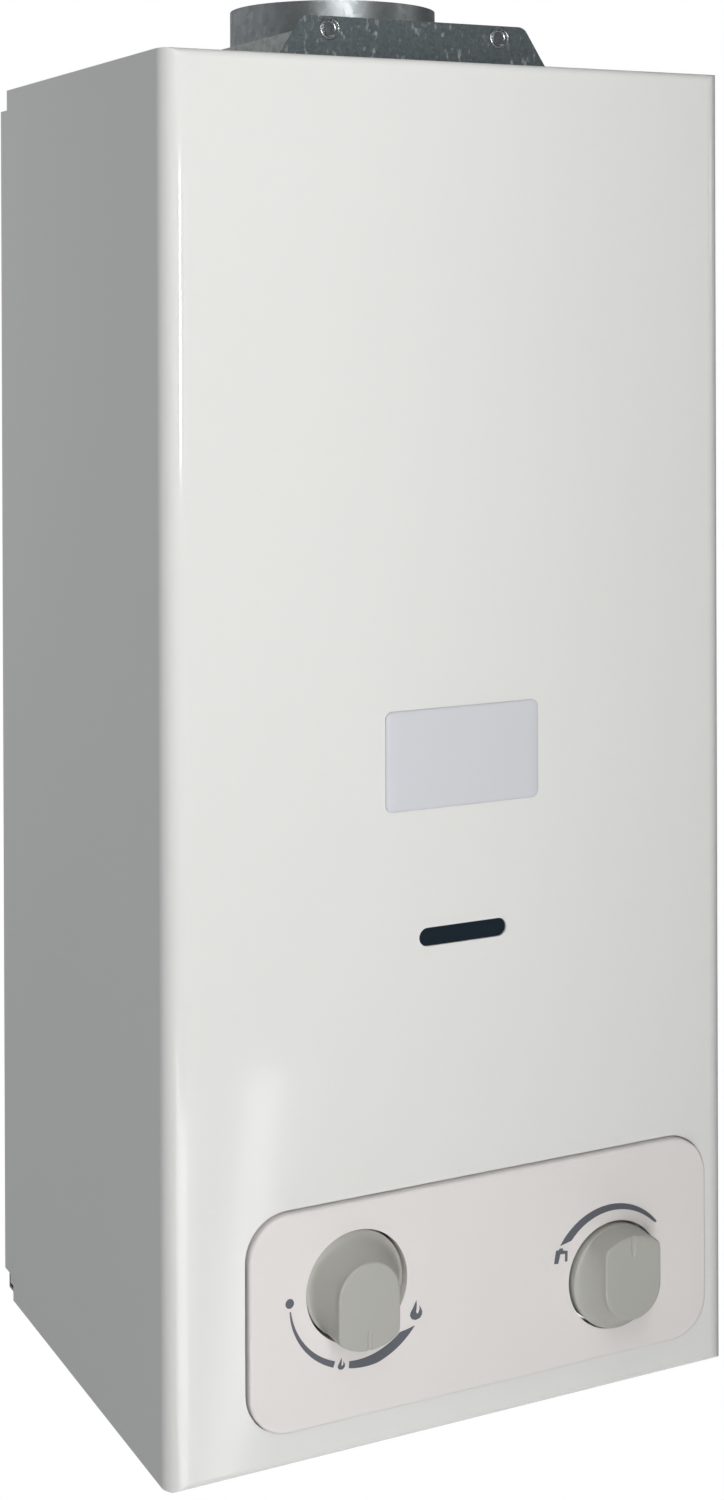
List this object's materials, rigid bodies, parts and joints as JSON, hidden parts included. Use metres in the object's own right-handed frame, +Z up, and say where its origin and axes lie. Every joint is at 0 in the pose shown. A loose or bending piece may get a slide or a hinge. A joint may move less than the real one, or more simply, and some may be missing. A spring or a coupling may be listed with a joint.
{
  "type": "tankless gas water heater",
  "caption": "Wall-hung tankless propane water heater: enamelled cover with sight slot and two control knobs, flue socket on a draught hood, and pipe connections underneath.",
  "frame": {"origin": "middle of the four wall screw holes, on the wall plane behind the back plate", "axes": "+Z up, +Y into the wall, +X to the right as seen from the front"},
  "size_m": [0.256, 0.222, 0.599],
  "materials": {
    "enamel": "gloss white enamel",
    "panel": "satin warm white",
    "badge": "satin grey, bare",
    "knob": "satin light grey",
    "window": "dark smoked",
    "black_plastic": "matt black",
    "galvanised": "zinc spangle",
    "copper": "bright copper",
    "brass": "machined brass",
    "cast_alloy": "die-cast",
    "steel": "zinc plated",
    "stainless": "heat-tinted",
    "rubber": "matt",
    "ceramic": null,
    "cell": "plain wrapped cell",
    "red_lead": "silicone",
    "grey_lead": "silicone"
  },
  "bodies": {
    "chassis": {"cover_screws": "steel", "back_plate": "galvanised", "chassis_screws": "steel", "draught_hood": "galvanised", "hood_front_plate": "galvanised", "flue_collar": "galvanised", "hood_baffle": "galvanised", "spill_sensor": "black_plastic", "combustion_chamber": "copper", "fin_block": "copper", "exchanger_tubes": "copper", "coil_pipe": "copper", "hot_outlet_pipe": "copper", "pipe_nuts": "brass", "overheat_sensor": "black_plastic", "chamber_brackets": "galvanised", "burner_frame": "galvanised", "burner_bars": "stainless", "gas_manifold": "galvanised", "injectors": "brass", "gas_feed_pipe": "brass", "gas_valve_body": "cast_alloy", "gas_solenoid": "black_plastic", "water_valve_body": "brass", "diaphragm": "rubber", "diaphragm_cover": "brass", "valve_screws": "steel", "micro_switch": "black_plastic", "gas_inlet_union": "brass", "cold_inlet_union": "brass", "hot_outlet_union": "brass", "union_nuts": "brass", "connection_shelf": "galvanised", "ignition_box": "black_plastic", "battery_case": "black_plastic", "batteries": "cell", "lid_pin": "steel", "electrode_bracket": "galvanised", "ignition_electrode": "ceramic", "flame_sensor": "ceramic", "ignition_lead": "red_lead", "sensor_lead": "grey_lead"},
    "casing": {"front_casing": "enamel", "control_panel": "panel", "panel_screws": "steel", "badge_plate": "badge", "sight_frame": "black_plastic", "sight_glass": "window"},
    "gas_control": {"gas_knob": "knob", "gas_spindle": "brass"},
    "water_control": {"water_knob": "knob", "water_spindle": "brass"},
    "flow_rod": {"push_rod": "steel"},
    "flow_switch_lever": {"switch_lever": "steel"},
    "battery_door": {"battery_lid": "black_plastic"}
  },
  "joints": [
    {"name": "casing_pull", "type": "slide", "parent": "chassis", "child": "casing", "axis": [0, -1, 0], "range_m": [0, 0.26]},
    {"name": "gas_knob_turn", "type": "hinge", "parent": "chassis", "child": "gas_control", "pos_m": [-0.0497, -0.184, -0.2088], "axis": [0, -1, 0], "range_deg": [-90, 62]},
    {"name": "water_knob_turn", "type": "hinge", "parent": "chassis", "child": "water_control", "pos_m": [0.0695, -0.184, -0.2269], "axis": [0, -1, 0], "range_deg": [-50, 50]},
    {"name": "flow_rod_push", "type": "slide", "parent": "chassis", "child": "flow_rod", "axis": [-1, 0, 0], "range_m": [0, 0.005], "stiffness_N_per_m": 300},
    {"name": "flow_switch_swing", "type": "hinge", "parent": "chassis", "child": "flow_switch_lever", "pos_m": [-0.0032, -0.129, -0.2008], "axis": [0, 1, 0], "range_deg": [0, 27.5]},
    {"name": "battery_lid_swing", "type": "hinge", "parent": "chassis", "child": "battery_door", "pos_m": [-0.002, -0.0047, -0.2683], "axis": [1, 0, 0], "range_deg": [0, 90]}
  ],
  "couplings": [
    {"joint": "flow_switch_swing", "follows": "flow_rod_push", "rad_per_m": 94.2}
  ]
}
